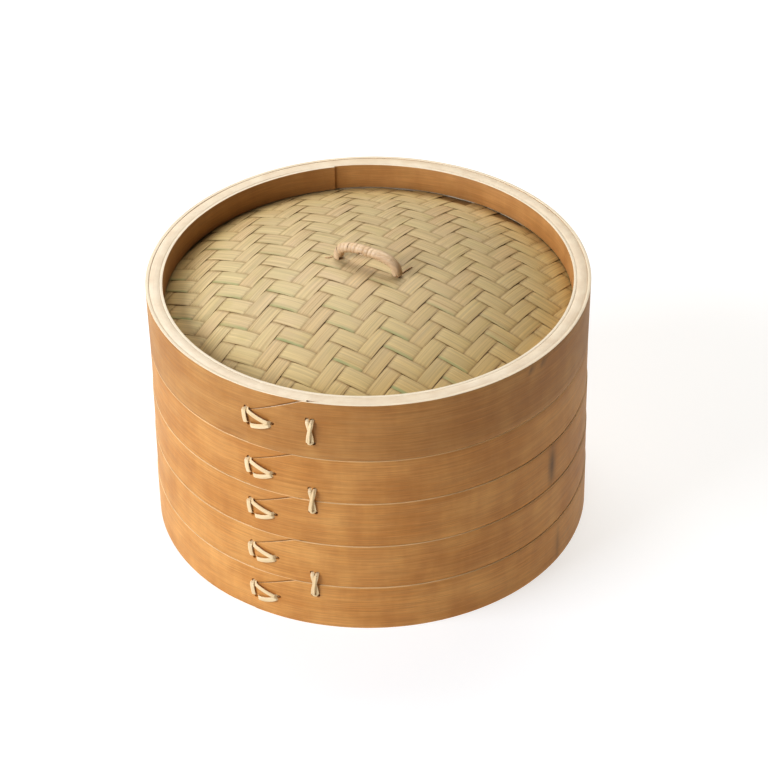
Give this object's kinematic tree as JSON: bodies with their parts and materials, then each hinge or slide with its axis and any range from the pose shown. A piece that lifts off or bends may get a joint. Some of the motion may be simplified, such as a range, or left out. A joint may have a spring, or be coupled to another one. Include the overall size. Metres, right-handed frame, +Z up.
{
  "type": "bamboo steamer basket",
  "caption": "Stacking bamboo steamer: slatted steaming tiers laced from bent hoops, with a domed, woven lid and an arched cane handle.",
  "frame": {"origin": "on the ground at the middle of the lower tier's foot", "axes": "+Z up, -Y towards the front, where the bands' laps and lacings are, +X to the right seen from the front"},
  "size_m": [0.2514, 0.2514, 0.1714],
  "materials": {
    "bamboo_band": "tan bent bamboo ply with fine lengthwise grain, satin",
    "bamboo_core": "pale cream split bamboo, sanded",
    "bamboo_ply": "brown thin inner ply, satin",
    "bamboo_slat": "straw-coloured planed slats",
    "bamboo_splint": "split bamboo, unsanded",
    "woven_strip": "pale straw strips with green edges and fine fibres, satin",
    "leaf_liner": "dry leaf, dull",
    "peel_lacing": "pale peel strips, slightly glossy",
    "cane_handle": "tan wound peel, slightly glossy"
  },
  "bodies": {
    "lower_tier": {"lower_tier_core_hoop": "bamboo_core", "lower_tier_upper_band": "bamboo_band", "lower_tier_lower_band": "bamboo_band", "lower_tier_inner_ring": "bamboo_ply", "lower_tier_floor_ring": "bamboo_core", "lower_tier_floor_slat_1": "bamboo_slat", "lower_tier_floor_slat_2": "bamboo_slat", "lower_tier_floor_slat_3": "bamboo_slat", "lower_tier_floor_slat_4": "bamboo_slat", "lower_tier_floor_slat_5": "bamboo_slat", "lower_tier_floor_slat_6": "bamboo_slat", "lower_tier_floor_slat_7": "bamboo_slat", "lower_tier_floor_slat_8": "bamboo_slat", "lower_tier_floor_batten_1": "bamboo_splint", "lower_tier_floor_batten_2": "bamboo_splint", "lower_tier_upper_lacing": "peel_lacing", "lower_tier_lower_lacing": "peel_lacing", "lower_tier_front_knot": "peel_lacing", "lower_tier_rear_knot": "peel_lacing"},
    "upper_tier": {"upper_tier_core_hoop": "bamboo_core", "upper_tier_upper_band": "bamboo_band", "upper_tier_lower_band": "bamboo_band", "upper_tier_inner_ring": "bamboo_ply", "upper_tier_floor_ring": "bamboo_core", "upper_tier_floor_slat_1": "bamboo_slat", "upper_tier_floor_slat_2": "bamboo_slat", "upper_tier_floor_slat_3": "bamboo_slat", "upper_tier_floor_slat_4": "bamboo_slat", "upper_tier_floor_slat_5": "bamboo_slat", "upper_tier_floor_slat_6": "bamboo_slat", "upper_tier_floor_slat_7": "bamboo_slat", "upper_tier_floor_slat_8": "bamboo_slat", "upper_tier_floor_batten_1": "bamboo_splint", "upper_tier_floor_batten_2": "bamboo_splint", "upper_tier_upper_lacing": "peel_lacing", "upper_tier_lower_lacing": "peel_lacing", "upper_tier_front_knot": "peel_lacing", "upper_tier_rear_knot": "peel_lacing"},
    "lid": {"lid_core_hoop": "bamboo_core", "lid_outer_band": "bamboo_band", "lid_rim_ring": "bamboo_ply", "lid_retaining_ring": "bamboo_core", "lid_woven_mat_outer": "woven_strip", "lid_leaf_liner": "leaf_liner", "lid_woven_mat_inner": "woven_strip", "lid_rib_1": "bamboo_splint", "lid_rib_2": "bamboo_splint", "lid_rib_3": "bamboo_splint", "lid_rib_4": "bamboo_splint", "handle_cane_core": "cane_handle", "handle_wrap": "cane_handle", "handle_splint": "bamboo_splint", "lid_lacing": "peel_lacing", "lid_front_knot": "peel_lacing", "lid_rear_knot": "peel_lacing"}
  },
  "joints": [
    {"name": "upper_tier_lift", "type": "slide", "parent": "lower_tier", "child": "upper_tier", "axis": [0, 0, 1], "range_m": [0, 0.12]},
    {"name": "lid_lift", "type": "slide", "parent": "upper_tier", "child": "lid", "axis": [0, 0, 1], "range_m": [0, 0.12]}
  ]
}
